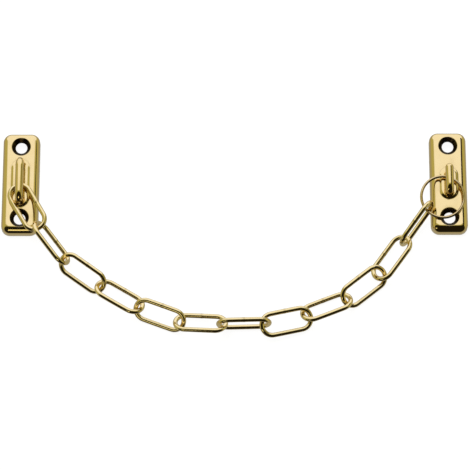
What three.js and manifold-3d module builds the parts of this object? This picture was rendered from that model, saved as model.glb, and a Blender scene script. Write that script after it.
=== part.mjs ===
// Door chain guard.
//
// Two small pressed brass plates screw to a door and its frame. A closed staple stands on the first
// and an open hook on the second. Oval wire links run from the staple to a thin round ring, which
// drops over the hook.
//
// Millimetres. Both plates lie with their backs on Z = 0 and +Z points away from the mounting
// surface. +Y is up on a fitted guard and +X runs from the staple plate to the hook plate. The
// origin is at the centre of the guard's box in X and Y. The chain lies slack, as it does on a table.

import * as THREE from "three";
import { mergeVertices } from "three/addons/utils/BufferGeometryUtils.js";
import Module from "manifold-3d";

const wasm = await Module();
wasm.setup();

// ---------------------------------------------------------------- driving dimensions

const PLATE_WIDTH = 19.4;
const PLATE_LENGTH = 56;
const PLATE_HEIGHT = 6.8;
const PLATE_CORNER = 4.5; // radius of the outline's corners
const PLATE_EDGE = 3.5; // radius of the roll from the face to the sides
const SHEET = 1.3;

const SCREW_INSET = 8; // from a plate's end to the middle of its screw hole
const SCREW_HEAD = 10.4; // diameter of the countersink's mouth
const SCREW_SHANK = 6.1; // diameter of the hole at its foot
const SINK_DEPTH = 2.15;
const SINK_LIP = 0.4; // straight land below the cone

const PAD_WIDTH = 8.6; // raised oblong that the staple or the hook stands on
const PAD_RISE = 0.6;

const ROD = 4.4; // diameter of the staple's and the hook's rod
const ROD_BEND = 3.4; // radius of its bends, to the middle of the rod
const RIVET_LAP = 0.7; // how far a rivet head reaches past the rod
const RIVET_THICKNESS = 1;

const STAPLE_CLEAR = 2; // from the staple to the edge of each countersink
const STAPLE_EYE = 4; // clear height under the bar
const STAPLE_DROP = 0.5; // its middle sits this far below the plate's

const HOOK_LENGTH = 17; // outside, from the root to the tip
const HOOK_THROAT = 3.4; // clear height under the rod
const HOOK_ROOT = 9.5; // the root's lower side is this far below the plate's middle

const WIRE = 2.5; // diameter of the links' wire
const EYE_LENGTH = 24; // inside a link
const EYE_WIDTH = 8.5;
const SLACK = 0.6; // play between one link and the next

const RING_OUTSIDE = 24;
const RING_WIRE = 1.5;
const RING_TILT = 4; // degrees, upper side lifted
const RING_BEARING = 41; // degrees, from the last link's grip to the ring's middle
const RING_OVERHANG = 5.9; // the ring stands this far past the hook plate's side
const RING_BELOW = 2.4; // the ring's middle is this far below the middle of the hook's leg

const LAST_DIP = 2.2; // the last link's lower side passes this far below the hook plate's face

const GAP = 0.3; // air kept between pieces that touch or turn

// Each link's heading seen from above, its roll about its own length, and how far its far end has
// slid back from the next piece beyond the usual play. Degrees and millimetres. The first link
// starts under the staple's bar. A positive roll lifts the side to the left of the heading. A link
// can also lie aside in its neighbours' eyes, to the left of its heading if the number is positive.
const LAY = [
  { heading: -60, roll: 5, loose: 0 },
  { heading: -52, roll: -55, loose: 0 },
  { heading: -35.5, roll: 39, loose: 0 },
  { heading: -31, roll: -29, loose: 0 },
  { heading: -20.5, roll: 42, loose: 1.4 },
  { heading: -4, roll: -31, loose: 0.8 },
  { heading: 1.5, roll: 88, loose: 1.2 },
  { heading: 14, roll: 20, loose: 0.9, aside: -1.6 },
  { heading: 21.5, roll: -32, loose: 0.5 },
  { heading: 38.5, roll: 32, loose: 1.9 },
  { heading: 53.5, roll: -28, loose: 0.9 },
  { heading: 53.5, roll: 83, loose: 0.9 },
];
const LEG_BACK = 6.1; // from the middle of the staple's lower leg back to the first link's end
const LEG_PLAY = 0.41; // between that leg and the side of the first link's eye

const WIRE_SIDES = 10;
const ROD_SIDES = 16;
const BEND_STEPS = 5; // in each quarter turn
const EDGE_STEPS = 4; // in each rounded edge
const ROUND_STEPS = 32; // round a hole, a rivet or the ring

// ---------------------------------------------------------------- materials

const metal = (color, roughness) =>
  new THREE.MeshStandardMaterial({ color, roughness, metalness: 1 });
const pressedBrass = metal(0xe3c677, 0.18);
const rodBrass = metal(0xd6b45c, 0.2);
const wireBrass = metal(0xd9ba66, 0.24);
const ringBrass = metal(0xcdb06a, 0.28);

// ---------------------------------------------------------------- solids

// A closed geometry as a solid that can be joined and cut.
function solid(geometry) {
  const bare = geometry.index ? geometry.toNonIndexed() : geometry.clone();
  bare.deleteAttribute("normal");
  bare.deleteAttribute("uv");
  const merged = mergeVertices(bare, 1e-4);
  return new wasm.Manifold(
    new wasm.Mesh({
      numProp: 3,
      vertProperties: merged.attributes.position.array,
      triVerts: new Uint32Array(merged.index.array),
    }),
  );
}

function geometryOf(shape) {
  const mesh = shape.getMesh();
  const geometry = new THREE.BufferGeometry();
  geometry.setAttribute("position", new THREE.BufferAttribute(mesh.vertProperties, 3));
  geometry.setIndex(new THREE.BufferAttribute(mesh.triVerts, 1));
  geometry.computeVertexNormals();
  return geometry;
}

// A solid turned about Z from [radius, height] points that start and end on the axis, bottom first.
function turned(points) {
  const outline = points.map(([radius, height]) => new THREE.Vector2(radius, height));
  return new THREE.LatheGeometry(outline, ROUND_STEPS).rotateX(Math.PI / 2);
}

function roundedRectangle(width, length, radius) {
  const x = width / 2;
  const y = length / 2;
  const quarter = Math.PI / 2;
  return new THREE.Shape()
    .moveTo(x, radius - y)
    .lineTo(x, y - radius)
    .absarc(x - radius, y - radius, radius, 0, quarter, false)
    .lineTo(radius - x, y)
    .absarc(radius - x, y - radius, radius, quarter, 2 * quarter, false)
    .lineTo(-x, radius - y)
    .absarc(radius - x, radius - y, radius, 2 * quarter, 3 * quarter, false)
    .lineTo(x - radius, -y)
    .absarc(x - radius, radius - y, radius, 3 * quarter, 4 * quarter, false);
}

// A block with a rounded outline and a rounded top edge, from `below` under Z = 0 up to `height`.
function roundedBlock(width, length, height, corner, edge, below) {
  const inner = roundedRectangle(width - 2 * edge, length - 2 * edge, corner - edge);
  const tall = new THREE.ExtrudeGeometry(inner, {
    depth: height + below,
    bevelThickness: edge,
    bevelSize: edge,
    bevelSegments: EDGE_STEPS,
    curveSegments: EDGE_STEPS,
  });
  tall.translate(0, 0, -below - edge);
  const keep = new THREE.BoxGeometry(2 * width, 2 * length, height + below);
  keep.translate(0, 0, (height - below) / 2);
  return solid(tall).intersect(solid(keep));
}

// ---------------------------------------------------------------- bent wire

// A path of straight runs joined by round bends. It is sampled at its own stations, so that a bend
// gets its steps and a straight run gets none.
class BentPath extends THREE.Curve {
  constructor(corners, radius, closed) {
    super();
    this.closed = closed;
    this.stations = [];
    corners.forEach((corner, i) => {
      const before = corners[(i + corners.length - 1) % corners.length];
      const after = corners[(i + 1) % corners.length];
      const isEnd = !closed && (i === 0 || i === corners.length - 1);
      if (isEnd) this.addEnd(corner, i === 0 ? after : before, i === 0);
      else this.addBend(before, corner, after, radius);
    });
    if (closed) {
      const first = this.stations[0].point;
      if (this.stations.at(-1).point.distanceTo(first) < 1e-6) this.stations.pop();
    }
    this.steps = closed ? this.stations.length : this.stations.length - 1;
  }

  addStation(point, tangent) {
    const last = this.stations.at(-1);
    if (last && last.point.distanceTo(point) < 1e-6) return;
    this.stations.push({ point, tangent: tangent.normalize() });
  }

  addEnd(point, neighbour, first) {
    const tangent = first ? neighbour.clone().sub(point) : point.clone().sub(neighbour);
    this.addStation(point.clone(), tangent);
  }

  addBend(before, corner, after, radius) {
    const into = corner.clone().sub(before).normalize();
    const out = after.clone().sub(corner).normalize();
    const turn = into.angleTo(out);
    const setback = radius * Math.tan(turn / 2);
    const side = out.clone().addScaledVector(into, -Math.cos(turn)).normalize();
    const start = corner.clone().addScaledVector(into, -setback);
    for (let k = 0; k <= BEND_STEPS; k++) {
      const angle = (turn * k) / BEND_STEPS;
      const point = start
        .clone()
        .addScaledVector(into, radius * Math.sin(angle))
        .addScaledVector(side, radius * (1 - Math.cos(angle)));
      const tangent = into
        .clone()
        .multiplyScalar(Math.cos(angle))
        .addScaledVector(side, Math.sin(angle));
      this.addStation(point, tangent);
    }
  }

  station(t) {
    return this.stations[Math.round(t * this.steps) % this.stations.length];
  }

  getPoint(t, target = new THREE.Vector3()) {
    return target.copy(this.station(t).point);
  }

  getTangent(t, target = new THREE.Vector3()) {
    return target.copy(this.station(t).tangent);
  }

  getPointAt(u, target) {
    return this.getPoint(u, target);
  }

  getTangentAt(u, target) {
    return this.getTangent(u, target);
  }
}

// Round bar swept along an open path, with flat ends.
function barAlong(path, diameter) {
  const section = new THREE.Shape().absarc(0, 0, diameter / 2, 0, 2 * Math.PI, false);
  return new THREE.ExtrudeGeometry(section, {
    steps: path.steps,
    curveSegments: ROD_SIDES / 2,
    extrudePath: path,
  });
}

// ---------------------------------------------------------------- plates

const padTop = PLATE_HEIGHT + PAD_RISE;
const screwSpacing = PLATE_LENGTH - 2 * SCREW_INSET;

// One screw hole: the dimple pressed down behind it, and the cone and hole cut through it.
function screwDimple() {
  const foot = PLATE_HEIGHT - SINK_DEPTH - SINK_LIP;
  return solid(
    turned([
      [0, foot],
      [SCREW_SHANK / 2 + SHEET, foot],
      [SCREW_HEAD / 2 + SHEET, PLATE_HEIGHT - SHEET / 2],
      [0, PLATE_HEIGHT - SHEET / 2],
    ]),
  );
}

function screwCut() {
  const slope = (SCREW_HEAD - SCREW_SHANK) / 2 / SINK_DEPTH;
  const above = 1;
  return solid(
    turned([
      [0, -above],
      [SCREW_SHANK / 2, -above],
      [SCREW_SHANK / 2, PLATE_HEIGHT - SINK_DEPTH],
      [SCREW_HEAD / 2 + slope * above, PLATE_HEIGHT + above],
      [0, PLATE_HEIGHT + above],
    ]),
  );
}

// The raised oblong between two heights along the plate.
function padBlock(lowY, highY) {
  const length = highY - lowY;
  const outline = roundedRectangle(PAD_WIDTH, length, PAD_WIDTH / 2 - 1e-3);
  const block = new THREE.ExtrudeGeometry(outline, {
    depth: PAD_RISE + SHEET / 2,
    bevelEnabled: false,
    curveSegments: 2 * EDGE_STEPS,
  });
  block.translate(0, (lowY + highY) / 2, PLATE_HEIGHT - SHEET / 2);
  return solid(block);
}

// A pressed plate: a shell open at the back, with a pad, two countersunk dimples and rivet holes.
function makePlate(name, padLow, padHigh, rivetYs) {
  const inside = 2 * SHEET;
  const outer = roundedBlock(PLATE_WIDTH, PLATE_LENGTH, PLATE_HEIGHT, PLATE_CORNER, PLATE_EDGE, 0);
  const hollow = roundedBlock(
    PLATE_WIDTH - inside,
    PLATE_LENGTH - inside,
    PLATE_HEIGHT - SHEET,
    PLATE_CORNER - SHEET,
    PLATE_EDGE - SHEET,
    1,
  );
  let body = outer.subtract(hollow).add(padBlock(padLow, padHigh));
  for (const side of [-1, 1]) {
    body = body.add(screwDimple().translate([0, (side * screwSpacing) / 2, 0]));
  }
  for (const side of [-1, 1]) {
    body = body.subtract(screwCut().translate([0, (side * screwSpacing) / 2, 0]));
  }
  for (const y of rivetYs) {
    const hole = new THREE.CylinderGeometry(ROD / 2 + GAP, ROD / 2 + GAP, padTop, ROUND_STEPS);
    hole.rotateX(Math.PI / 2).translate(0, y, PLATE_HEIGHT);
    body = body.subtract(solid(hole));
  }
  const mesh = new THREE.Mesh(geometryOf(body), pressedBrass);
  mesh.name = name;
  return mesh;
}

// The end of a rod spread behind the sheet.
function rivetHead(y) {
  const top = PLATE_HEIGHT - SHEET - GAP;
  const head = new THREE.CylinderGeometry(
    ROD / 2 + RIVET_LAP,
    ROD / 2 + RIVET_LAP / 2,
    RIVET_THICKNESS,
    ROUND_STEPS,
  );
  head.rotateX(Math.PI / 2).translate(0, y, top - RIVET_THICKNESS / 2);
  return solid(head);
}

const rivetFoot = PLATE_HEIGHT - SHEET - GAP - RIVET_THICKNESS / 2;

const stapleLength = screwSpacing - SCREW_HEAD - 2 * STAPLE_CLEAR;
const stapleLow = -stapleLength / 2 - STAPLE_DROP;
const stapleHigh = stapleLength / 2 - STAPLE_DROP;
const stapleLegs = [stapleLow + ROD / 2, stapleHigh - ROD / 2];
const barHeight = padTop + STAPLE_EYE + ROD / 2; // the middle of the staple's bar

function makeStaple() {
  const [low, high] = stapleLegs;
  const path = new BentPath(
    [
      new THREE.Vector3(0, low, rivetFoot),
      new THREE.Vector3(0, low, barHeight),
      new THREE.Vector3(0, high, barHeight),
      new THREE.Vector3(0, high, rivetFoot),
    ],
    ROD_BEND,
    false,
  );
  const body = solid(barAlong(path, ROD)).add(rivetHead(low)).add(rivetHead(high));
  const mesh = new THREE.Mesh(geometryOf(body), rodBrass);
  mesh.name = "staple";
  return mesh;
}

const hookLeg = -HOOK_ROOT + ROD / 2;
const hookTip = -HOOK_ROOT + HOOK_LENGTH;
const hookHeight = padTop + HOOK_THROAT + ROD / 2;

function makeHook() {
  const tipCentre = hookTip - ROD / 2;
  const path = new BentPath(
    [
      new THREE.Vector3(0, hookLeg, rivetFoot),
      new THREE.Vector3(0, hookLeg, hookHeight),
      new THREE.Vector3(0, tipCentre, hookHeight),
    ],
    ROD_BEND,
    false,
  );
  const tip = new THREE.SphereGeometry(ROD / 2, ROD_SIDES, ROD_SIDES / 2);
  tip.translate(0, tipCentre, hookHeight);
  const body = solid(barAlong(path, ROD)).add(solid(tip)).add(rivetHead(hookLeg));
  const mesh = new THREE.Mesh(geometryOf(body), rodBrass);
  mesh.name = "hook";
  return mesh;
}

// ---------------------------------------------------------------- chain

const linkHalfLength = (EYE_LENGTH + WIRE) / 2; // to the middle of the wire
const linkHalfWidth = (EYE_WIDTH + WIRE) / 2;
const ringRadius = (RING_OUTSIDE - RING_WIRE) / 2;
const radians = THREE.MathUtils.degToRad;

const headingVector = (degrees) =>
  new THREE.Vector3(Math.cos(radians(degrees)), Math.sin(radians(degrees)), 0);

// How high a rolled link's middle is when its lower side lies on a surface.
const restHeight = ({ roll }) => linkHalfWidth * Math.abs(Math.sin(radians(roll))) + WIRE / 2;

// The ring leans on the hook plate's face with its lower side.
const ringLift = ringRadius * Math.sin(radians(RING_TILT));
const ringHeight = PLATE_HEIGHT + GAP + RING_WIRE / 2 + ringLift;

// The height of each point where two links meet. The first lies under the staple's bar and the second
// over the staple plate's face. The last link leans over the edge of the hook plate, and the others lie
// as low as both links let them.
function junctionHeights() {
  const underBar = padTop + STAPLE_EYE - WIRE / 2 - 1.5 * GAP;
  const heights = [underBar, padTop + GAP + restHeight(LAY[0])];
  for (let i = 2; i < LAY.length; i++) {
    heights.push(Math.max(restHeight(LAY[i - 1]), restHeight(LAY[i])));
  }
  heights.push(PLATE_HEIGHT + restHeight(LAY.at(-1)) - LAST_DIP);
  return heights;
}

// The first link's eye goes round the staple's lower leg, which stands near one side of it.
function firstJunction(height) {
  const heading = headingVector(LAY[0].heading);
  const left = headingVector(LAY[0].heading + 90);
  return new THREE.Vector3(0, stapleLegs[0], height)
    .addScaledVector(heading, -LEG_BACK)
    .addScaledVector(left, (EYE_WIDTH - ROD) / 2 - LEG_PLAY);
}

// The points where the links meet, from the staple's bar to the ring.
function junctionPoints() {
  const heights = junctionHeights();
  const points = [firstJunction(heights[0])];
  LAY.forEach(({ heading, loose }, i) => {
    const before = i > 0 ? LAY[i - 1].loose : 0;
    const pitch = EYE_LENGTH - SLACK - (before + loose) / 2;
    const rise = heights[i + 1] - heights[i];
    const run = Math.sqrt(pitch * pitch - rise * rise);
    const next = points[i].clone().addScaledVector(headingVector(heading), run);
    next.z = heights[i + 1];
    points.push(next);
  });
  return points;
}

function linkGeometry() {
  const x = linkHalfLength;
  const y = linkHalfWidth;
  const corners = [
    new THREE.Vector3(-x, -y, 0),
    new THREE.Vector3(x, -y, 0),
    new THREE.Vector3(x, y, 0),
    new THREE.Vector3(-x, y, 0),
  ];
  const path = new BentPath(corners, linkHalfWidth, true);
  return new THREE.TubeGeometry(path, path.steps, WIRE / 2, WIRE_SIDES, true);
}

// A link between two junctions, rolled about the line from one to the other. Its ends pass the
// junctions by half the play.
function makeLink(number, from, to, { roll, aside = 0 }, looser) {
  const mesh = new THREE.Mesh(linkGeometry(), wireBrass);
  mesh.name = "link_" + String(number).padStart(2, "0");
  const along = to.clone().sub(from).normalize();
  const left = new THREE.Vector3(0, 0, 1).cross(along).normalize();
  const up = along.clone().cross(left);
  const side = left
    .clone()
    .multiplyScalar(Math.cos(radians(roll)))
    .addScaledVector(up, Math.sin(radians(roll)));
  const normal = along.clone().cross(side);
  mesh.quaternion.setFromRotationMatrix(new THREE.Matrix4().makeBasis(along, side, normal));
  mesh.position.copy(from).lerp(to, 0.5).addScaledVector(along, looser / 4);
  mesh.position.addScaledVector(side, aside);
  return mesh;
}

function makeRing(centre) {
  const outline = [];
  for (let k = 0; k <= WIRE_SIDES; k++) {
    const angle = (2 * Math.PI * k) / WIRE_SIDES;
    outline.push(
      new THREE.Vector2(
        ringRadius + (RING_WIRE / 2) * Math.cos(angle),
        (RING_WIRE / 2) * Math.sin(angle),
      ),
    );
  }
  const torus = new THREE.LatheGeometry(outline, ROUND_STEPS).rotateX(Math.PI / 2);
  const mesh = new THREE.Mesh(torus, ringBrass);
  mesh.name = "ring";
  mesh.position.copy(centre);
  mesh.rotation.x = radians(RING_TILT);
  return mesh;
}

// ---------------------------------------------------------------- assembly

const guard = new THREE.Group();

const staplePlate = new THREE.Group();
staplePlate.add(makePlate("staple_plate", stapleLow, stapleHigh, stapleLegs), makeStaple());
guard.add(staplePlate);

const points = junctionPoints();
LAY.forEach((lie, i) => {
  const before = i > 0 ? LAY[i - 1].loose : 0;
  guard.add(makeLink(i + 1, points[i], points[i + 1], lie, lie.loose - before));
});

// The ring's wire passes the last link's end with the same play as the links have.
const last = LAY.at(-1);
const back = (RING_WIRE + SLACK + last.loose) / 2;
const grip = points.at(-1).clone().addScaledVector(headingVector(last.heading), -back);
const ringCentre = grip.clone().addScaledVector(headingVector(RING_BEARING), ringRadius);
ringCentre.z = ringHeight;
guard.add(makeRing(ringCentre));

const hookPlate = new THREE.Group();
hookPlate.add(makePlate("hook_plate", -HOOK_ROOT, hookTip, [hookLeg]), makeHook());
hookPlate.position.set(
  ringCentre.x - RING_OUTSIDE / 2 + RING_OVERHANG + PLATE_WIDTH / 2,
  ringCentre.y + RING_BELOW - hookLeg,
  0,
);
guard.add(hookPlate);

// Put the middle of the whole at the origin.
const box = new THREE.Box3().setFromObject(guard, true);
const middle = box.getCenter(new THREE.Vector3());
guard.children.forEach((child) => child.position.sub(new THREE.Vector3(middle.x, middle.y, 0)));

// Where each joint turns, for whoever moves the guard.
const shift = new THREE.Vector3(-middle.x, -middle.y, 0);
guard.userData.junctions = points.map((point) => point.clone().add(shift).toArray());

export default guard;
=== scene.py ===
"""Looks of a brass door chain guard, laid out as a Blender add-on.

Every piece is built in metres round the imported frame: +Z away from the door, +Y up on a fitted guard,
and +X from the staple plate to the hook plate.
"""

import math

import bmesh
import bpy
import numpy as np
from bpy.props import FloatProperty, FloatVectorProperty, IntProperty, PointerProperty
from mathutils import Matrix, Vector
from mathutils.geometry import delaunay_2d_cdt


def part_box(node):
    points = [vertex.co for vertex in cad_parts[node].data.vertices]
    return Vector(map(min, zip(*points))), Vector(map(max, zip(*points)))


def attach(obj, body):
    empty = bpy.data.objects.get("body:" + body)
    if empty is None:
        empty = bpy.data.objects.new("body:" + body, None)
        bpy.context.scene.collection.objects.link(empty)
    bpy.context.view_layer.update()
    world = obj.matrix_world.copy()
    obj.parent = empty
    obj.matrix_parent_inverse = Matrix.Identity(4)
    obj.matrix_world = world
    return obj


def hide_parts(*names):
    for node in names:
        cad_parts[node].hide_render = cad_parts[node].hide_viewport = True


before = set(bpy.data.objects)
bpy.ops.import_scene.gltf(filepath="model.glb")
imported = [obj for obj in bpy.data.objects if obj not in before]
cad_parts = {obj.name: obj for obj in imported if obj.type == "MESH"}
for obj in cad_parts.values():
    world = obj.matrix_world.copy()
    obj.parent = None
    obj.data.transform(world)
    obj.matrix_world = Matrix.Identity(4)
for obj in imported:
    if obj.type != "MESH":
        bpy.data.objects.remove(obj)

bl_info = {
    "name": "Brass door chain guard",
    "version": (1, 0, 0),
    "blender": (4, 5, 0),
    "location": "3D View > Sidebar > Chain guard",
    "description": "Builds the polished brass pieces of a door chain guard round its frame",
    "category": "Object",
}

MM = 0.001
LINKS = sorted(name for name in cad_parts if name.startswith("link_"))

# ---------------------------------------------------------------- the frame


def node_corners(name):
    """The corners of a CAD node's mesh, each one once."""
    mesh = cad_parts[name].data
    return np.unique(np.round([v.co for v in mesh.vertices], 7), axis=0)


def node_lie(name, along=None):
    """Where a long or flat CAD node lies.

    The result is its middle, three unit axes and the node's extents along them. The first axis is the
    longest way of the node, or else the way given, and the last one is its shortest.
    """
    corners = node_corners(name)
    middle = (corners.min(0) + corners.max(0)) / 2
    axes = np.linalg.svd(corners - corners.mean(0), full_matrices=False)[2]
    normal = axes[2] * (1 if axes[2][2] >= 0 else -1)
    first = axes[0] if along is None else np.asarray(along, float)
    first = first - normal * (first @ normal)
    first = first / np.linalg.norm(first) * (1 if first[0] >= 0 else -1)
    axes = np.array([first, np.cross(normal, first), normal])
    spread = (corners - middle) @ axes.T
    return Vector(middle), axes, spread.max(0) - spread.min(0)


def middle_of(box):
    return (box[0] + box[1]) / 2


# ---------------------------------------------------------------- sizes and finishes


def length_property(name, default, description):
    return FloatProperty(name=name, description=description, default=default, unit="LENGTH", precision=5)


def colour_property(name, default, description):
    return FloatVectorProperty(
        name=name, description=description, default=default, subtype="COLOR", size=3, min=0, max=1
    )


def share_property(name, default, description):
    return FloatProperty(
        name=name, description=description, default=default, min=0, max=1, subtype="FACTOR"
    )


class PlateSizes(bpy.types.PropertyGroup):
    """Sizes of both pressed plates."""

    sheet: length_property("Sheet", 1.3 * MM, "Thickness of the pressed sheet")
    corner: length_property("Corner", 4.5 * MM, "Radius of the outline's corners")
    roll_width: length_property("Roll width", 3.5 * MM, "Width of the rolled edge seen from the front")
    roll_height: length_property("Roll height", 3.5 * MM, "Height of the rolled edge")
    crown: length_property("Crown", 0.1 * MM, "How far the face swells in its middle")
    screw_inset: length_property("Screw inset", 8 * MM, "From a plate's end to a screw hole's middle")
    screw_head: length_property("Screw head", 10.4 * MM, "Diameter of a countersink's mouth")
    screw_shank: length_property("Screw shank", 6.1 * MM, "Diameter of the hole at its foot")
    sink_depth: length_property("Sink depth", 2.15 * MM, "Depth of the countersink's cone")
    sink_lip: length_property("Sink lip", 0.4 * MM, "Straight wall below the cone")
    pad_width: length_property("Pad width", 8.6 * MM, "Width of the raised oblong")
    pad_rise: length_property("Pad rise", 0.6 * MM, "Height of the raised oblong")


class RodSizes(bpy.types.PropertyGroup):
    """Sizes of the staple's and the hook's rod."""

    rod: length_property("Rod", 4.4 * MM, "Diameter of the rod")
    bend: length_property("Bend", 3.4 * MM, "Radius of its bends, to the middle of the rod")
    head_height: length_property("Head height", 1 * MM, "Height of a peened head")
    sides: IntProperty(name="Sides", description="Faces round the rod", default=48, min=8, max=96)


class WireSizes(bpy.types.PropertyGroup):
    """Sizes of the links' and the ring's wire."""

    wire: length_property("Link wire", 2.5 * MM, "Diameter of the links' wire")
    ring_wire: length_property("Ring wire", 1.5 * MM, "Diameter of the ring's wire")
    belly: length_property("Belly", 0.16 * MM, "How far a link's long sides bow out")
    bead: share_property("Weld bead", 0.05, "How much thicker the wire is at a link's weld")
    groove: share_property("Ring joint", 0.16, "How much thinner the wire is at the ring's closed joint")
    step: length_property("Step", 0.4 * MM, "Length of one face along the wire")
    sides: IntProperty(name="Sides", description="Faces round the wire", default=28, min=8, max=64)


class Finishes(bpy.types.PropertyGroup):
    """Colours and gloss of the brass."""

    plate: colour_property("Plate brass", (0.88, 0.70, 0.335), "Polished sheet")
    rod: colour_property("Rod brass", (0.86, 0.67, 0.30), "Polished rod")
    wire: colour_property("Wire brass", (0.90, 0.74, 0.38), "Bright plated wire")
    ring: colour_property("Ring brass", (0.74, 0.58, 0.31), "Bright plated thin wire")
    # Also paints shade: besides real stains and the weld's film, this colour darkens the pad's foot and the
    # rivet holes as painted shade.
    tarnish_and_shade: colour_property("Tarnish", (0.20, 0.125, 0.045), "Brown film left in corners")
    # Near black: partly real oxide, partly painted shade inside the countersinks.
    oxide: colour_property("Oxide", (0.045, 0.030, 0.014), "Dark skin inside the countersinks")
    raw: colour_property("Raw brass", (0.62, 0.47, 0.22), "Unpolished back of the sheet")
    gloss: share_property("Roughness", 0.07, "Roughness of the best polished face")


class Studio(bpy.types.PropertyGroup):
    """Camera, floor and light."""

    tilt: FloatProperty(
        name="Tilt",
        description="How far the camera leans from straight above",
        default=math.radians(19.5),
        subtype="ANGLE",
    )
    view_angle: FloatProperty(
        name="View angle", description="Width of the camera's view", default=math.radians(10), subtype="ANGLE"
    )
    distance: length_property("Distance", 1.417, "From the camera to the guard")
    aim_x: length_property("Aim X", 113.5 * MM, "Where the camera aims, from the staple plate's middle")
    aim_y: length_property("Aim Y", -27.3 * MM, "Where the camera aims, from the staple plate's middle")
    floor: colour_property("Floor", (1, 1, 1), "Colour of the floor and backdrop")


class GuardSettings(bpy.types.PropertyGroup):
    """Everything that can be set on the guard."""

    plate: PointerProperty(type=PlateSizes, name="Plates", description="Sizes of the plates")
    rod: PointerProperty(type=RodSizes, name="Rods", description="Sizes of the staple and the hook")
    wire: PointerProperty(type=WireSizes, name="Wire", description="Sizes of the links and the ring")
    finish: PointerProperty(type=Finishes, name="Finishes", description="Colours of the brass")
    studio: PointerProperty(type=Studio, name="Studio", description="Camera, floor and light")


def settings():
    return bpy.context.scene.chain_guard


# ---------------------------------------------------------------- node trees


class Wired:
    """One output socket. Arithmetic on it adds Math nodes to its tree."""

    def __init__(self, graph, socket):
        self.graph = graph
        self.socket = socket

    def output(self, name):
        """Another output of the node that this one comes from."""
        return Wired(self.graph, self.socket.node.outputs[name])

    def __add__(self, other):
        return self.graph.math("ADD", self, other)

    def __sub__(self, other):
        return self.graph.math("SUBTRACT", self, other)

    def __rsub__(self, other):
        return self.graph.math("SUBTRACT", other, self)

    def __mul__(self, other):
        return self.graph.math("MULTIPLY", self, other)

    __radd__ = __add__
    __rmul__ = __mul__


class Graph:
    """A node tree that is written as expressions."""

    def __init__(self, tree):
        self.tree = tree

    def add(self, kind, options=None, inputs=None, output=0):
        """Adds a node, makes its settings first and then fills its sockets with values or links."""
        node = self.tree.nodes.new(kind)
        for name, value in (options or {}).items():
            setattr(node, name, value)
        for name, value in (inputs or {}).items():
            socket = node.inputs[name]
            if isinstance(value, Wired):
                self.tree.links.new(value.socket, socket)
            else:
                socket.default_value = value
        return Wired(self, node.outputs[output]) if node.outputs else node

    def math(self, operation, *terms):
        return self.add("ShaderNodeMath", {"operation": operation}, dict(enumerate(terms)))

    def ramp(self, value, low, high, to_low=0.0, to_high=1.0):
        """A smooth step from one value to another as `value` goes from low to high."""
        inputs = {"Value": value, "From Min": low, "From Max": high, "To Min": to_low, "To Max": to_high}
        return self.add("ShaderNodeMapRange", {"interpolation_type": "SMOOTHSTEP"}, inputs)

    def blend(self, share, first, second):
        """A mix of two colours."""
        options = {"data_type": "RGBA"}
        return self.add("ShaderNodeMix", options, {0: share, 6: first, 7: second}, output=2)

    def noise(self, place, scale, detail=2.0, roughness=0.5):
        inputs = {"Vector": place, "Scale": scale, "Detail": detail, "Roughness": roughness}
        return self.add("ShaderNodeTexNoise", None, inputs)

    def stretched(self, place, scale):
        """Coordinates multiplied by a different number along each axis."""
        return self.add("ShaderNodeVectorMath", {"operation": "MULTIPLY"}, {0: place, 1: scale})

    def mark(self, name):
        """A number that the piece's own mesh carries."""
        return self.add("ShaderNodeAttribute", {"attribute_name": name}, output="Fac")


def rgba(colour):
    return (*colour, 1.0)


# ---------------------------------------------------------------- brass


# Cells of each noise in one metre.
CLOUD_SCALE = 140
SMEAR_SCALE = (260, 90, 260)
HAIR_SCALE = 5200
PIT_SCALE = 2600
GRAIN_SCALE = 1500
RIPPLE_SCALE = 900

HAIR_STRETCH = 60  # how many times longer than wide a hairline mark is
CLOUD_TINT = (0.95, 0.90, 0.78)  # multiplies the brass colour where the lacquer is clouded


def fine_lines(graph, place, along, across, sharpness):
    """Hairline marks: a noise that is long one way and narrow the other two, thinned to its crests."""
    scale = [across, across, across]
    scale[along] = across / HAIR_STRETCH
    lines = graph.noise(graph.stretched(place, tuple(scale)), 1.0, 3)
    return graph.ramp(lines, sharpness, sharpness + 0.12)


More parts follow.
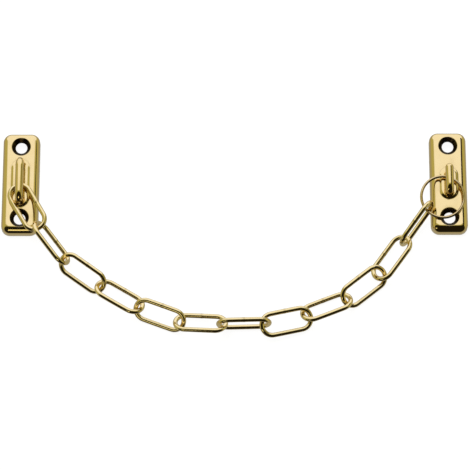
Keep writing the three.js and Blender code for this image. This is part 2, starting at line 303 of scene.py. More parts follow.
def brass_material(name, colour, gloss, place_name=None, along=1, film=None, skins=False):
    """Polished brass with clouded lacquer, hairline marks, and a brown mark where the attribute named by
    `film` says: real tarnish at a weld, and painted shade with some tarnish at the pad's foot and in the
    rivet holes.

    Sheet has two more skins: a near-black skin in its countersinks, partly real oxide and partly painted
    shade, and a raw back.
    """
    finish = settings().finish
    material = bpy.data.materials.new(name)
    material.use_nodes = True
    graph = Graph(material.node_tree)
    shader = material.node_tree.nodes["Principled BSDF"]
    if place_name is None:
        place = graph.add("ShaderNodeTexCoord", output="Object")
    else:
        place = graph.add("ShaderNodeAttribute", {"attribute_name": place_name}, output="Vector")

    cloud = graph.noise(place, CLOUD_SCALE, 3, 0.55)
    smear = graph.noise(graph.stretched(place, SMEAR_SCALE), 1, 4, 0.6)
    hairs = fine_lines(graph, place, along, HAIR_SCALE, 0.62)
    pits = graph.ramp(graph.noise(place, PIT_SCALE, 2), 0.70, 0.78)

    clouded = rgba([share * fade for share, fade in zip(colour, CLOUD_TINT)])
    tint = graph.blend(graph.ramp(cloud, 0.35, 0.7) * 0.35, rgba(colour), clouded)
    stain = graph.ramp(smear, 0.56, 0.74) * 0.10 + pits * 0.25
    # Painted shade with some tarnish: the film mark browns the pad's foot and the rivet holes. At a link's
    # weld it is real film.
    if film is not None:
        stain = stain + graph.mark(film) * graph.ramp(cloud, 0.2, 0.6, 0.65, 1.0)
    tint = graph.blend(stain, tint, rgba(finish.tarnish_and_shade))
    rough = gloss + graph.ramp(smear, 0.4, 0.75) * 0.05 + hairs * 0.05 + stain * 0.12
    bump = hairs * -0.25 + graph.noise(place, RIPPLE_SCALE, 3) * 0.10 + pits * -0.8
    if skins:
        grain = graph.noise(place, GRAIN_SCALE, 4, 0.65)
        # The oxide mark paints the countersinks near black: painted shade with some real oxide.
        oxide = graph.mark("oxide")
        raw = graph.mark("raw")
        film_tint = rgba(finish.tarnish_and_shade)
        oxide_and_shade_tint = graph.blend(graph.ramp(grain, 0.45, 0.75) * 0.5, rgba(finish.oxide), film_tint)
        raw_tint = graph.blend(graph.ramp(grain, 0.35, 0.7) * 0.5, rgba(finish.raw), film_tint)
        tint = graph.blend(raw, graph.blend(oxide, tint, oxide_and_shade_tint), raw_tint)
        rough = rough + oxide * 0.22 + raw * 0.3
        bump = bump + (oxide + raw) * grain * 0.8
    normal = graph.add("ShaderNodeBump", None, {"Strength": 0.12, "Distance": 0.00002, "Height": bump})

    for socket, value in (("Base Color", tint), ("Roughness", rough), ("Normal", normal)):
        material.node_tree.links.new(value.socket, shader.inputs[socket])
    shader.inputs["Metallic"].default_value = 1.0
    shader.inputs["Coat Weight"].default_value = 0.12
    shader.inputs["Coat Roughness"].default_value = 0.04
    return material


# ---------------------------------------------------------------- surfaces


class Surface:
    """A closed mesh that is gathered from strips between loops and from flat fills."""

    # The first two marks carry painted shade besides real tarnish and oxide. The last is the raw back's
    # finish.
    MARKS = ("film", "oxide", "raw")

    def __init__(self):
        self.mesh = bmesh.new()
        self.layers = {mark: self.mesh.verts.layers.float.new(mark) for mark in self.MARKS}

    def point(self, place, marks):
        vertex = self.mesh.verts.new(place)
        for mark, value in marks.items():
            vertex[self.layers[mark]] = value
        return vertex

    def strip(self, loops, marks=None):
        """Faces between closed loops that all have the same number of points."""
        marks = marks or [{}] * len(loops)
        rows = [[self.point(p, mark) for p in loop] for loop, mark in zip(loops, marks)]
        for below, above in zip(rows, rows[1:]):
            for k in range(len(below)):
                last = k - 1
                self.mesh.faces.new((below[last], below[k], above[k], above[last]))

    def fan(self, loop, middle):
        """Closes a loop with triangles to a point."""
        top = self.point(middle, {})
        ring = [self.point(p, {}) for p in loop]
        for k in range(len(ring)):
            self.mesh.faces.new((ring[k - 1], ring[k], top))

    def fill(self, loops, height, inside, spare, marks=None):
        """Fills the region between loops. `height` gives the height above any point of it.

        `inside` says whether a point is in the region, and `spare` are more points to spread in it.
        """
        points = [Vector(p[:2]) for loop in loops for p in loop]
        edges = []
        start = 0
        for loop in loops:
            count = len(loop)
            edges += [(start + k, start + (k + 1) % count) for k in range(count)]
            start += count
        points += [Vector(p) for p in spare if inside(*p, 0.45 * MM)]
        made = delaunay_2d_cdt(points, edges, [], 0, 1e-9)
        vertices = [self.point((p.x, p.y, height(p.x, p.y)), marks or {}) for p in made[0]]
        for corners in made[2]:
            centre = sum((made[0][k] for k in corners), Vector((0, 0))) / len(corners)
            if inside(centre.x, centre.y, 0):
                self.mesh.faces.new([vertices[k] for k in corners])

    def piece(self, name, material, place=Vector((0, 0, 0)), shape=None):
        """The finished object. `shape` moves a point, after which the whole is put in its place."""
        bmesh.ops.remove_doubles(self.mesh, verts=self.mesh.verts, dist=1e-6)
        loose = [v for v in self.mesh.verts if not v.link_faces]
        bmesh.ops.delete(self.mesh, geom=loose, context="VERTS")
        for vertex in self.mesh.verts:
            if shape:
                vertex.co = shape(vertex.co)
            vertex.co += place
        bmesh.ops.recalc_face_normals(self.mesh, faces=self.mesh.faces)
        data = bpy.data.meshes.new(name)
        self.mesh.to_mesh(data)
        self.mesh.free()
        data.materials.append(material)
        data.shade_smooth()
        made = bpy.data.objects.new(name, data)
        bpy.context.scene.collection.objects.link(made)
        return made


def box_distance(x, y, half_width, half_length, radius):
    """How far a point is outside a rectangle with round corners; less than nothing inside it."""
    dx = abs(x) - half_width + radius
    dy = abs(y) - half_length + radius
    return math.hypot(max(dx, 0), max(dy, 0)) + min(max(dx, dy), 0) - radius


def outline(half_width, half_length, radius, height, middle_y=0.0, short_steps=8):
    """Points round a rectangle with round corners, at one height."""
    arc_steps = 14
    long_steps = 32
    x = half_width - radius
    y = half_length - radius
    points = []
    for turn, (cx, cy) in enumerate(((x, y), (-x, y), (-x, -y), (x, -y))):
        for k in range(arc_steps + 1):
            angle = math.pi / 2 * (turn + k / arc_steps)
            points.append((cx + radius * math.cos(angle), cy + radius * math.sin(angle)))
        ahead = ((-x, y + radius), (-x - radius, -y), (x, -y - radius), (x + radius, y))[turn]
        steps = short_steps if turn % 2 == 0 else long_steps
        start = points[-1]
        for k in range(1, steps):
            share = k / steps
            points.append(tuple(a + (b - a) * share for a, b in zip(start, ahead)))
    return [(px, py + middle_y, height) for px, py in points]


def circle(radius, height, middle_y, steps=72):
    turn = 2 * math.pi / steps
    return [
        (radius * math.cos(turn * k), middle_y + radius * math.sin(turn * k), height) for k in range(steps)
    ]


# ---------------------------------------------------------------- plates


class Plate:
    """The shape of one pressed plate, with its own middle at X = Y = 0."""

    PAD_FOOT = 0.9 * MM
    PAD_SHOULDER = 0.8 * MM
    ROLL_STEPS = 30
    SKIRT_STEP = 20  # below this step the roll is made of strips, above it the face's fill takes over
    RIVET_AIR = 0.12 * MM
    BACK_ROLL = 0.75 * MM  # width of the roll on the sheet's inner side

    def __init__(self, node, rod_node, leg_ys):
        self.sizes = settings().plate
        low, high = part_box(node)
        self.middle = Vector((*middle_of((low, high)).xy, 0))
        self.half_width = (high.x - low.x) / 2
        self.half_length = (high.y - low.y) / 2
        self.face = high.z - self.sizes.pad_rise
        self.leg_ys = [y - self.middle.y for y in leg_ys]
        self.rivet_hole = settings().rod.rod / 2 + self.RIVET_AIR
        rod_low, rod_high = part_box(rod_node)
        lap = (rod_high.x - rod_low.x - settings().rod.rod) / 2
        self.pad_low = rod_low.y + lap - self.middle.y
        self.pad_high = rod_high.y - (lap if len(leg_ys) > 1 else 0) - self.middle.y
        self.screw_ys = [side * (self.half_length - self.sizes.screw_inset) for side in (-1, 1)]
        self.surface = Surface()

    def inset(self, amount, height):
        """The plate's outline, drawn in."""
        radius = max(self.sizes.corner - amount, 0.4 * MM)
        return outline(self.half_width - amount, self.half_length - amount, radius, height)

    def pad_outline(self, grow):
        half_width = self.sizes.pad_width / 2 + grow
        half_length = (self.pad_high - self.pad_low) / 2 + grow
        return half_width, half_length, half_width * 0.985

    def pad_loop(self, grow, height):
        half_width, half_length, radius = self.pad_outline(grow)
        middle = (self.pad_low + self.pad_high) / 2
        return outline(half_width, half_length, radius, height, middle, short_steps=2)

    def in_pad(self, x, y, grow):
        half_width, half_length, radius = self.pad_outline(grow)
        return box_distance(x, y - (self.pad_low + self.pad_high) / 2, half_width, half_length, radius)

    def roll(self, start, width, rise, top, steps):
        """Loops of an edge that rolls over from upright towards flat."""
        loops = []
        for k in range(steps + 1):
            angle = math.pi / 2 * k / steps
            inward = start + width * (1 - math.cos(angle))
            loops.append(self.inset(inward, top - rise * (1 - math.sin(angle))))
        return loops

    def beyond_flat(self, x, y):
        """How far a point is past the flat of the face, towards the rolled edge."""
        s = self.sizes
        reach = s.roll_width
        return box_distance(x, y, self.half_width - reach, self.half_length - reach, s.corner - reach)

    def rolled(self, x, y):
        """How far the rolled edge has dropped below the face at a point."""
        share = min(max(self.beyond_flat(x, y) / self.sizes.roll_width, 0), 1)
        return self.sizes.roll_height * (1 - math.sqrt(1 - share * share))

    def grid(self, step):
        """Points spread over the face, a row apart, with rings of closer ones round the screw holes."""
        across = int(self.half_width / step)
        along = int(self.half_length / step)
        points = [(i * step, j * step) for i in range(-across, across + 1) for j in range(-along, along + 1)]
        for y in self.screw_ys:
            for grow in (0.5, 1.0, 1.6):
                points += [p[:2] for p in circle(self.sizes.screw_head / 2 + grow * MM, 0, y, 60)]
        return points

    def outer_face(self):
        s = self.sizes
        edge = 0.25 * MM
        skirt = math.pi / 2 * self.SKIRT_STEP / self.ROLL_STEPS
        foot = [self.inset(edge, 0), self.inset(edge * 0.3, edge * 0.3), self.inset(0, edge)]
        rolls = self.roll(0, s.roll_width, s.roll_height, self.face, self.ROLL_STEPS)
        self.surface.strip(foot + rolls[: self.SKIRT_STEP + 1])
        mouth = s.screw_head / 2
        blend = self.PAD_FOOT

        def inside(x, y, margin):
            body = self.beyond_flat(x, y) - s.roll_width * math.cos(skirt)
            clear_of_holes = all(math.hypot(x, y - hole) > mouth + margin * 0.6 for hole in self.screw_ys)
            return body < -margin * 0.5 and clear_of_holes and self.in_pad(x, y, blend) > margin

        spare = [p for p in self.grid(1.1 * MM) if self.beyond_flat(*p) < -0.4 * MM]
        for loop in rolls[self.SKIRT_STEP + 2 :: 2]:
            spare += [p[:2] for p in loop]
        loops = [rolls[self.SKIRT_STEP], self.pad_loop(blend, 0)]
        loops += [circle(mouth, 0, y) for y in self.screw_ys]
        self.surface.fill(loops, lambda x, y: self.face - self.rolled(x, y), inside, spare)

    def countersinks(self):
        """The cones, with a rounded mouth and a straight lip. Their walls carry the mark that paints them
        near black, partly real oxide and partly painted shade inside the recess.
        """
        s = self.sizes
        mouth = s.screw_head / 2
        shank = s.screw_shank / 2
        lead = 0.3 * MM
        floor = self.face - s.sink_depth
        # Each row's third number is the near-black mark: painted shade inside the recess, with some real
        # oxide.
        rows = [(mouth, self.face, 0.0)]
        for k in range(1, 6):
            angle = math.pi / 4 * k / 5
            rows.append((mouth - lead * math.sin(angle), self.face - lead * (1 - math.cos(angle)), 0.12 * k))
        start = rows[-1][:2]
        for k in range(1, 9):
            share = k / 9
            radius = start[0] + (shank + 0.1 * MM - start[0]) * share
            rows.append((radius, start[1] + (floor - start[1]) * share, 1))
        rows += [(shank + 0.03 * MM, floor - 0.05 * MM, 1), (shank, floor - 0.15 * MM, 1)]
        rows.append((shank, floor - s.sink_lip, 0.8))
        for y in self.screw_ys:
            rim = [self.rolled(*p[:2]) for p in circle(mouth, 0, y)]
            loops = []
            for k, (radius, height, _) in enumerate(rows):
                share = max(0, 1 - k / 8)
                loop = circle(radius, height, y)
                loops.append([(px, py, pz - drop * share) for (px, py, pz), drop in zip(loop, rim)])
            self.surface.strip(loops, [{"oxide": oxide} for _, _, oxide in rows])

    def pad(self):
        """The raised oblong, with a soft foot and shoulder, and the rivet holes through its top."""
        s = self.sizes
        out, back = self.PAD_FOOT, self.PAD_SHOULDER
        steps = 14
        rows = []
        for k in range(steps + 1):
            share = k / steps
            rows.append((out - (out + back) * share, self.face + s.pad_rise * (3 - 2 * share) * share**2))
        # Painted shade with some tarnish: the film mark peaks in a band round the pad's foot.
        self.surface.strip(
            [self.pad_loop(grow, height) for grow, height in rows],
            [{"film": 0.22 * max(0.0, 1 - abs(k - 2) / 4)} for k in range(steps + 1)],
        )
        top = self.face + s.pad_rise
        hole = self.rivet_hole

        def inside(x, y, margin):
            clear = all(math.hypot(x, y - leg) > hole + margin for leg in self.leg_ys)
            return self.in_pad(x, y, -back) < -margin and clear

        grid = [p for p in self.grid(0.9 * MM) if inside(*p, 0.3 * MM)]
        loops = [self.pad_loop(-back, top)] + [circle(hole, top, y) for y in self.leg_ys]
        self.surface.fill(loops, lambda x, y: top, inside, grid)
        # Painted shade with some tarnish down the rivet holes. The raw mark below is the back's finish.
        marks = [{"film": 0.8}, {"film": 1}, {"raw": 1}]
        for y in self.leg_ys:
            heights = (top, top - 0.3 * MM, self.face - s.sheet)
            self.surface.strip([circle(hole, height, y) for height in heights], marks)

    def inner_face(self):
        """The raw back of the sheet: its wall, its roll, the flat behind the face and the dimples' backs."""
        s = self.sizes
        top = self.face - s.sheet
        width = self.BACK_ROLL
        edge = 0.12 * MM
        raw = {"raw": 1}
        foot = [self.inset(0.25 * MM, 0), self.inset(s.sheet - edge, 0), self.inset(s.sheet, edge)]
        loops = foot + self.roll(s.sheet, width, s.roll_height - s.sheet, top, 8)
        self.surface.strip(loops, [{}] + [raw] * (len(loops) - 1))
        lip = self.face - s.sink_depth - s.sink_lip
        shank = s.screw_shank / 2
        back = s.screw_inset - s.sheet - width - 0.08 * MM
        for y in self.screw_ys:
            rows = [(back, top), (shank + s.sheet, lip), (shank + 0.3 * MM, lip), (shank, lip)]
            self.surface.strip([circle(radius, height, y) for radius, height in rows], [raw] * len(rows))
        hole = self.rivet_hole
        reach = s.sheet + width

        def inside(x, y, margin):
            body = box_distance(x, y, self.half_width - reach, self.half_length - reach, s.corner - reach)
            clear_of_holes = all(math.hypot(x, y - hole_y) > back + margin for hole_y in self.screw_ys)
            clear_of_legs = all(math.hypot(x, y - leg) > hole + margin for leg in self.leg_ys)
            return body < -margin and clear_of_holes and clear_of_legs

        loops = [self.inset(reach, top)]
        loops += [circle(back, top, y) for y in self.screw_ys]
        loops += [circle(hole, top, y) for y in self.leg_ys]
        self.surface.fill(loops, lambda x, y: top, inside, [], raw)

    def pressed(self, point):
        """The face swells a little in its middle and is drawn in round each screw hole."""
        if point.z < self.face - self.sizes.roll_height:
            return point
        share = min(1.0, (point.z - self.face + self.sizes.roll_height) / self.sizes.roll_height)
        swell = (1 - (point.x / self.half_width) ** 2) * (1 - (point.y / self.half_length) ** 2)
        drawn = 0.0
        for y in self.screw_ys:
            away = math.hypot(point.x, point.y - y) - self.sizes.screw_head / 2
            drawn += math.exp(-((max(away, 0) / (1.1 * MM)) ** 2)) * 0.05 * MM
        return point + Vector((0, 0, (self.sizes.crown * swell - drawn) * share**2))

    def build(self, name, material):
        self.outer_face()
        self.countersinks()
        self.pad()
        self.inner_face()
        return self.surface.piece(name, material, self.middle, self.pressed)


def leg_places(node):
    """Where the legs of a staple or a hook stand: a head's reach in from the ends of its box."""
    low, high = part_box(node)
    reach = (high.x - low.x) / 2
    return [low.y + reach, high.y - reach] if node == "staple" else [low.y + reach]


class GUARD_OT_plates(bpy.types.Operator):
    """Makes both pressed plates."""

    bl_idname = "guard.plates"
    bl_label = "Plates"

    def execute(self, context):
        finish = settings().finish
        material = brass_material("polished_sheet", finish.plate, finish.gloss, film="film", skins=True)
        for node, rod_node in (("staple_plate", "staple"), ("hook_plate", "hook")):
            plate = Plate(node, rod_node, leg_places(rod_node)).build(node + "_pressing", material)
            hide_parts(node)
            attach(plate, node)
        return {"FINISHED"}


# ---------------------------------------------------------------- staple and hook


def bent_path(corners, radius, steps):
    """Stations along straight runs joined by round bends, each a point and a unit direction."""
    stations = [(corners[0], (corners[1] - corners[0]).normalized())]
    for before, corner, after in zip(corners, corners[1:], corners[2:]):
        into = (corner - before).normalized()
        out = (after - corner).normalized()
        turn = into.angle(out)
        side = (out - into * math.cos(turn)).normalized()
        start = corner - into * radius * math.tan(turn / 2)
        for k in range(steps + 1):
            angle = turn * k / steps
            point = start + into * radius * math.sin(angle) + side * radius * (1 - math.cos(angle))
            stations.append((point, into * math.cos(angle) + side * math.sin(angle)))
    stations.append((corners[-1], (corners[-1] - corners[-2]).normalized()))
    return stations


def peened_head(foot, direction, top, radius, rod):
    """Stations of the spread end of a rod, from its domed foot to where the rod comes out of it."""
    height = (top - foot).length
    profile = ((0.0, 0.35), (0.05, 0.62), (0.2, 0.86), (0.45, 0.98), (0.7, 1.0), (0.92, 0.97), (1.0, 0.9))
    rows = [(foot + direction * height * share, direction, radius * width) for share, width in profile]
    return rows + [(top, direction, rod / 2)]


def build_rod(name, rows, material, closed_ends):
    """A round rod through stations of point, direction and radius, all in one plane across X."""
    sides = settings().rod.sides
    across = Vector((1, 0, 0))
    loops = []
    turn = 2 * math.pi / sides
    for point, direction, radius in rows:
        up = across.cross(direction).normalized()
        loops.append(
            [point + radius * (across * math.cos(turn * k) + up * math.sin(turn * k)) for k in range(sides)]
        )
    surface = Surface()
    surface.strip(loops)
    surface.fan(loops[0], closed_ends[0])
    surface.fan(loops[-1], closed_ends[1])
    return surface.piece(name, material)


def rod_rows(stations, radius):
    """Stations of a rod that is equally thick all along."""
    return [(point, direction, radius) for point, direction in stations]


def rod_frame(node):
    """The sizes that a staple or a hook takes from its CAD node."""
    low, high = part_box(node)
    sizes = settings().rod
    x = middle_of((low, high)).x
    head = (high.x - low.x) / 2
    bar = high.z - sizes.rod / 2
    foot = low.z
    head_top = foot + sizes.head_height + 0.2 * MM
    return x, head, bar, foot, head_top


class GUARD_OT_staple(bpy.types.Operator):
    """Makes the closed staple with a peened head on each leg."""

    bl_idname = "guard.staple"
    bl_label = "Staple"

    def execute(self, context):
        sizes = settings().rod
        x, head, bar, foot, head_top = rod_frame("staple")
        low_y, high_y = leg_places("staple")
        up = Vector((0, 0, 1))
        corners = [
            Vector((x, low_y, head_top)),
            Vector((x, low_y, bar)),
            Vector((x, high_y, bar)),
            Vector((x, high_y, head_top)),
        ]
        ends = [Vector((x, y, foot)) for y in (low_y, high_y)]
        first = peened_head(ends[0], up, corners[0], head, sizes.rod)
        last = [(p, -d, r) for p, d, r in reversed(peened_head(ends[1], up, corners[-1], head, sizes.rod))]
        rows = first + rod_rows(bent_path(corners, sizes.bend, 20)[1:-1], sizes.rod / 2) + last
        material = brass_material("staple_rod", settings().finish.rod, settings().finish.gloss)
        staple = build_rod("staple_rod", rows, material, ends)
        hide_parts("staple")
        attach(staple, "staple_plate")
        return {"FINISHED"}


class GUARD_OT_hook(bpy.types.Operator):
    """Makes the open hook, with a peened head on its leg and a round tip."""

    bl_idname = "guard.hook"
    bl_label = "Hook"

    def execute(self, context):
        sizes = settings().rod
        x, head, bar, foot, head_top = rod_frame("hook")
        leg_y = leg_places("hook")[0]
        radius = sizes.rod / 2
        tip_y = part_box("hook")[1].y - radius
        corners = [Vector((x, leg_y, head_top)), Vector((x, leg_y, bar)), Vector((x, tip_y, bar))]
        foot_end = Vector((x, leg_y, foot))
        rows = peened_head(foot_end, Vector((0, 0, 1)), corners[0], head, sizes.rod)
        rows += rod_rows(bent_path(corners, sizes.bend, 20)[1:], radius)
        forward = Vector((0, 1, 0))
        for k in range(1, 12):
            angle = math.pi / 2 * k / 12
            rows.append((corners[-1] + forward * radius * math.sin(angle), forward, radius * math.cos(angle)))
        material = brass_material("hook_rod", settings().finish.rod, settings().finish.gloss)
        ends = (foot_end, corners[-1] + forward * radius)
        hook = build_rod("hook_rod", rows, material, ends)
        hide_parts("hook")
        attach(hook, "hook_plate")
        return {"FINISHED"}


# ---------------------------------------------------------------- links and ring


WIRE_TREE = "wire_loop"
WELD_FILM = 0.3


def wire_loop_tree():
    """Geometry Nodes tree of one closed loop of round wire, an oval or a ring, joined on one side.

    It is made once, and the links and the ring share it.
    """
    if WIRE_TREE in bpy.data.node_groups:
        return bpy.data.node_groups[WIRE_TREE]
    tree = bpy.data.node_groups.new(WIRE_TREE, "GeometryNodeTree")
    kinds = {
        "Length": "NodeSocketFloat",
        "Width": "NodeSocketFloat",
        "Wire": "NodeSocketFloat",
        "Belly": "NodeSocketFloat",
        "Joint": "NodeSocketFloat",
        "Joint Reach": "NodeSocketFloat",
        "Step": "NodeSocketFloat",
        "Sides": "NodeSocketInt",
        "Seed": "NodeSocketFloat",
        "Place": "NodeSocketVector",
        "Turn": "NodeSocketVector",
        "Material": "NodeSocketMaterial",
    }
    for name, kind in kinds.items():
        tree.interface.new_socket(name, in_out="INPUT", socket_type=kind)
    tree.interface.new_socket("Geometry", in_out="OUTPUT", socket_type="NodeSocketGeometry")
    graph = Graph(tree)
    given = graph.add("NodeGroupInput")
    length, width, wire = (given.output(name) for name in ("Length", "Width", "Wire"))

    inputs = {"Width": length - wire, "Height": width - wire}
    line = graph.add("GeometryNodeCurvePrimitiveQuadrilateral", {"mode": "RECTANGLE"}, inputs)
    inputs = {"Curve": line, "Radius": (width - wire) * 0.4999, "Count": 40}
    line = graph.add("GeometryNodeFilletCurve", {"mode": "POLY"}, inputs)
    inputs = {"Curve": line, "Length": given.output("Step")}
    line = graph.add("GeometryNodeResampleCurve", {"mode": "LENGTH"}, inputs)

    place = graph.add("GeometryNodeInputPosition")
    apart = graph.add("ShaderNodeSeparateXYZ", None, {"Vector": place})
    x, y = apart, apart.output("Y")
    share = graph.math("DIVIDE", x, length * 0.5)
    bow = graph.math("MAXIMUM", 1 - share * share, 0.0) * given.output("Belly")
    away = graph.add("ShaderNodeCombineXYZ", None, {"Y": bow * graph.math("SIGN", y)})
    line = graph.add("GeometryNodeSetPosition", None, {"Geometry": line, "Offset": away})
    from_joint = graph.math("DIVIDE", x, given.output("Joint Reach"))
    near = graph.math("POWER", math.e, from_joint * from_joint * -1)
    joint = near * graph.math("GREATER_THAN", y, 0.0)

    def stored(geometry, name, kind, value):
        options = {"data_type": kind, "domain": "POINT"}
        inputs = {"Geometry": geometry, "Name": name, "Value": value}
        return graph.add("GeometryNodeStoreNamedAttribute", options, inputs)

    line = stored(line, "film", "FLOAT", joint * WELD_FILM)
    inputs = {"Resolution": given.output("Sides"), "Radius": wire * 0.5}
    section = graph.add("GeometryNodeCurvePrimitiveCircle", {"mode": "RADIUS"}, inputs)
    inputs = {"Curve": line, "Profile Curve": section, "Scale": 1 + joint * given.output("Joint")}
    body = graph.add("GeometryNodeCurveToMesh", None, inputs)
    own = graph.add("ShaderNodeVectorMath", {"operation": "ADD"}, {0: place, 1: given.output("Seed")})
    body = stored(body, "own_place", "FLOAT_VECTOR", own)
    inputs = {"Geometry": body, "Translation": given.output("Place"), "Rotation": given.output("Turn")}
    body = graph.add("GeometryNodeTransform", None, inputs)
    body = graph.add("GeometryNodeSetShadeSmooth", None, {"Geometry": body})
    body = graph.add("GeometryNodeRealizeInstances", None, {"Geometry": body})
    inputs = {"Geometry": body, "Material": given.output("Material")}
    body = graph.add("GeometryNodeSetMaterial", None, inputs)
    graph.add("NodeGroupOutput", None, {"Geometry": body})
    return tree


def build_wire_loop(name, tree, values):
    """Runs the wire loop tree with its own values and keeps the result as a plain mesh."""
    made = bpy.data.objects.new(name, bpy.data.meshes.new(name))
    bpy.context.scene.collection.objects.link(made)
    modifier = made.modifiers.new("wire loop", "NODES")
    modifier.node_group = tree
    for item in tree.interface.items_tree:
        if item.in_out == "INPUT":
            modifier[item.identifier] = values[item.name]
    depsgraph = bpy.context.evaluated_depsgraph_get()
    data = bpy.data.meshes.new_from_object(made.evaluated_get(depsgraph), depsgraph=depsgraph)
    made.modifiers.clear()
    made.data = data
    return made


def loop_values(node, wire, joint, reach, belly, seed, material, along=None):
    """The inputs of one wire loop, with its size and place taken from its CAD node."""
    sizes = settings().wire
    middle, axes, extents = node_lie(node, along)
    turn = Matrix(axes.T.tolist()).to_euler()
    return {
        "Length": extents[0],
        "Width": extents[1],
        "Wire": wire,
        "Belly": belly,
        "Joint": joint,
        "Joint Reach": reach,
        "Step": sizes.step,
        "Sides": sizes.sides,
        "Seed": seed,
        "Place": middle,
        "Turn": tuple(turn),
        "Material": material,
    }


class GUARD_OT_links(bpy.types.Operator):
    """Makes the chain's links, each with its own weld and bow."""

    bl_idname = "guard.links"
    bl_label = "Links"

    def execute(self, context):
        sizes = settings().wire
        finish = settings().finish
        tree = wire_loop_tree()
        material = brass_material(
            "drawn_wire", finish.wire, finish.gloss + 0.03, place_name="own_place", along=0, film="film"
        )
        for number, node in enumerate(LINKS):
            spread = (number * 0.618) % 1
            values = loop_values(
                node,
                wire=sizes.wire,
                joint=sizes.bead,
                reach=0.6 * MM,
                belly=sizes.belly * (0.5 + spread),
                seed=spread,
                material=material,
            )
            link = build_wire_loop(node + "_wire", tree, values)
            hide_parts(node)
            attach(link, node)
        return {"FINISHED"}


class GUARD_OT_ring(bpy.types.Operator):
    """Makes the thin ring with its closed joint."""

    bl_idname = "guard.ring"
    bl_label = "Ring"

    def execute(self, context):
        sizes = settings().wire
        finish = settings().finish
        material = brass_material(
            "ring_wire", finish.ring, finish.gloss + 0.04, place_name="own_place", along=0, film="film"
        )
        values = loop_values(
            "ring",
            wire=sizes.ring_wire,
            joint=-sizes.groove,
            reach=0.12 * MM,
            belly=0.0,
            seed=0.37,
            material=material,
            along=(1, 0, 0),
        )
        values["Step"] = sizes.step * 0.75
        ring = build_wire_loop("ring_wire", wire_loop_tree(), values)
        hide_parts("ring")
        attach(ring, "ring")
        return {"FINISHED"}


# ---------------------------------------------------------------- stage


def glowing_material(name, colour, strength):
    material = bpy.data.materials.new(name)
    material.use_nodes = True
    shader = material.node_tree.nodes["Principled BSDF"]
    shader.inputs["Base Color"].default_value = rgba([0.16 * c for c in colour])
    shader.inputs["Roughness"].default_value = 0.9
    shader.inputs["Emission Color"].default_value = rgba(colour)
    shader.inputs["Emission Strength"].default_value = strength
    return material


def stage_piece(name, data, material, seen_in_metal):
    made = bpy.data.objects.new(name, data)
    data.materials.append(material)
    bpy.context.scene.collection.objects.link(made)
    made.visible_glossy = seen_in_metal
    return made


def flat_sheet(name, half_x, half_y):
    data = bpy.data.meshes.new(name)
    corners = [(-half_x, -half_y, 0), (half_x, -half_y, 0), (half_x, half_y, 0), (-half_x, half_y, 0)]
    data.from_pydata(corners, [], [(0, 1, 2, 3)])
    return data


def make_floor():
    material = glowing_material("pale_floor", settings().studio.floor, 0.94)
    floor = stage_piece("floor", flat_sheet("floor", 20, 20), material, False)
    floor.location.z = -0.1 * MM
    shell = bmesh.new()
    bmesh.ops.create_uvsphere(shell, u_segments=48, v_segments=24, radius=8)
    data = bpy.data.meshes.new("backdrop")
    shell.to_mesh(data)
    shell.free()
    material = glowing_material("pale_backdrop", settings().studio.floor, 0.97)
    backdrop = stage_piece("backdrop", data, material, False)
    backdrop.visible_diffuse = False
    backdrop.visible_shadow = False


def make_panels():
    """Two glowing panels that only the metal sees, painted reflections: a bright one in front, and a dark one
    at the right.
    """
    bright = glowing_material("bright_reflection_panel", (0.95, 0.88, 0.55), 1.0)
    dark = glowing_material("dark_reflection_panel", (0.02, 0.016, 0.01), 1.0)
    places = (
        ("bright_reflection_panel", 60 * MM, 110 * MM, (-0.145, -0.27, 0.185), (math.radians(-65), 0, 0), bright),
        ("dark_reflection_panel", 60 * MM, 130 * MM, (0.265, 0.10, 0.20), (0, math.radians(45), 0), dark),
    )
    for name, half_x, half_y, place, turn, material in places:
        panel = stage_piece(name, flat_sheet(name, half_x, half_y), material, True)
        panel.location = place
        panel.rotation_euler = turn
        panel.visible_camera = False
        panel.visible_diffuse = False
        panel.visible_shadow = False


def make_surroundings():
    """The light all round: bright beyond the guard, dark on the near side, olive left and right.

    Below the floor's level it turns greyer.
    """
    world = bpy.data.worlds.new("studio")
    bpy.context.scene.world = world
    world.use_nodes = True
    graph = Graph(world.node_tree)
    way = graph.add("ShaderNodeTexCoord", output="Generated")

    def toward(azimuth, lean):
        """How closely a direction points at one that leans from straight up towards an azimuth."""
        a, b = math.radians(azimuth), math.radians(lean)
        aim = (math.cos(a) * math.sin(b), math.sin(a) * math.sin(b), math.cos(b))
        options = {"operation": "DOT_PRODUCT"}
        return graph.add("ShaderNodeVectorMath", options, {0: way, 1: aim}, output="Value")

    def zone(azimuth, lean, reach, soft):
        """One inside a cone of directions and nothing outside it. Its reach and softness are in degrees."""
        outer = math.cos(math.radians(reach + soft))
        return graph.ramp(toward(azimuth, lean), outer, math.cos(math.radians(reach - soft)))

    light = graph.blend(graph.ramp(toward(90, 0), -0.25, 0.05), (0.40, 0.38, 0.32, 1), (0.50, 0.475, 0.20, 1))
    light = graph.blend(zone(-90, 62, 66, 5), light, (0.014, 0.011, 0.006, 1))
    light = graph.blend(zone(92, 60, 46, 3), light, (1.05, 1.06, 1.2, 1))
    background = world.node_tree.nodes["Background"]
    world.node_tree.links.new(light.socket, background.inputs["Color"])


def make_camera():
    studio = settings().studio
    lens = bpy.data.cameras.new("camera")
    lens.sensor_width = 36
    lens.lens = lens.sensor_width / 2 / math.tan(studio.view_angle / 2)
    lens.clip_end = 100
    camera = bpy.data.objects.new("camera", lens)
    bpy.context.scene.collection.objects.link(camera)
    aim = middle_of(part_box("staple_plate")) + Vector((studio.aim_x, studio.aim_y, 0))
    aim.z = 0
    back = Vector((0, -math.sin(studio.tilt), math.cos(studio.tilt)))
    camera.location = aim + back * studio.distance
    camera.rotation_euler = (studio.tilt, 0, 0)
    bpy.context.scene.camera = camera


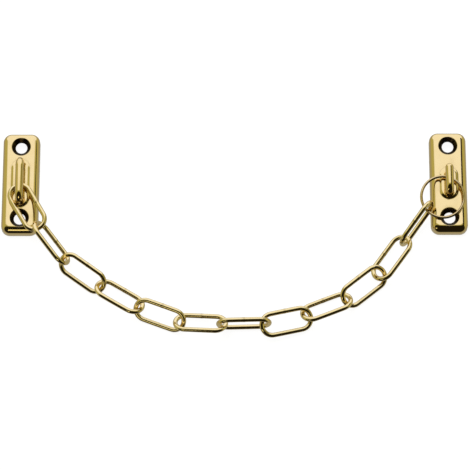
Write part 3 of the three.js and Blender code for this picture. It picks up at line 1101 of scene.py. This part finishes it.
def make_lamp():
    """A soft lamp high above, for the faint shadows on the floor."""
    lamp = bpy.data.lights.new("soft_lamp", "AREA")
    lamp.shape = "DISK"
    lamp.size = 0.8
    lamp.energy = 6
    holder = bpy.data.objects.new("soft_lamp", lamp)
    holder.location = (-0.3, 0.4, 1.2)
    holder.rotation_euler = (holder.location * -1).to_track_quat("-Z", "Y").to_euler()
    holder.visible_glossy = False
    bpy.context.scene.collection.objects.link(holder)


class GUARD_OT_stage(bpy.types.Operator):
    """Makes the floor, the backdrop, the light and the camera."""

    bl_idname = "guard.stage"
    bl_label = "Stage"

    def execute(self, context):
        bpy.context.scene.view_settings.view_transform = "Standard"
        make_floor()
        make_surroundings()
        make_panels()
        make_lamp()
        make_camera()
        return {"FINISHED"}


# ---------------------------------------------------------------- add-on


class GUARD_PT_panel(bpy.types.Panel):
    """Lists the settings and the pieces."""

    bl_idname = "GUARD_PT_panel"
    bl_label = "Chain guard"
    bl_space_type = "VIEW_3D"
    bl_region_type = "UI"
    bl_category = "Chain guard"

    def draw(self, context):
        for group in ("plate", "rod", "wire", "finish", "studio"):
            box = self.layout.box()
            owner = getattr(settings(), group)
            for name in owner.bl_rna.properties.keys():
                if name not in ("rna_type", "name"):
                    box.prop(owner, name)
        for operator in OPERATORS:
            self.layout.operator(operator.bl_idname)


OPERATORS = (GUARD_OT_stage, GUARD_OT_plates, GUARD_OT_staple, GUARD_OT_hook, GUARD_OT_links, GUARD_OT_ring)
CLASSES = (PlateSizes, RodSizes, WireSizes, Finishes, Studio, GuardSettings, *OPERATORS, GUARD_PT_panel)


def register():
    for cls in CLASSES:
        bpy.utils.register_class(cls)
    bpy.types.Scene.chain_guard = PointerProperty(
        type=GuardSettings, name="Chain guard", description="Settings of the chain guard"
    )


def unregister():
    del bpy.types.Scene.chain_guard
    for cls in reversed(CLASSES):
        bpy.utils.unregister_class(cls)


def main():
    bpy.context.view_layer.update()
    register()
    bpy.ops.guard.stage()
    bpy.ops.guard.plates()
    bpy.ops.guard.staple()
    bpy.ops.guard.hook()
    bpy.ops.guard.links()
    bpy.ops.guard.ring()


if __name__ == "__main__":
    main()
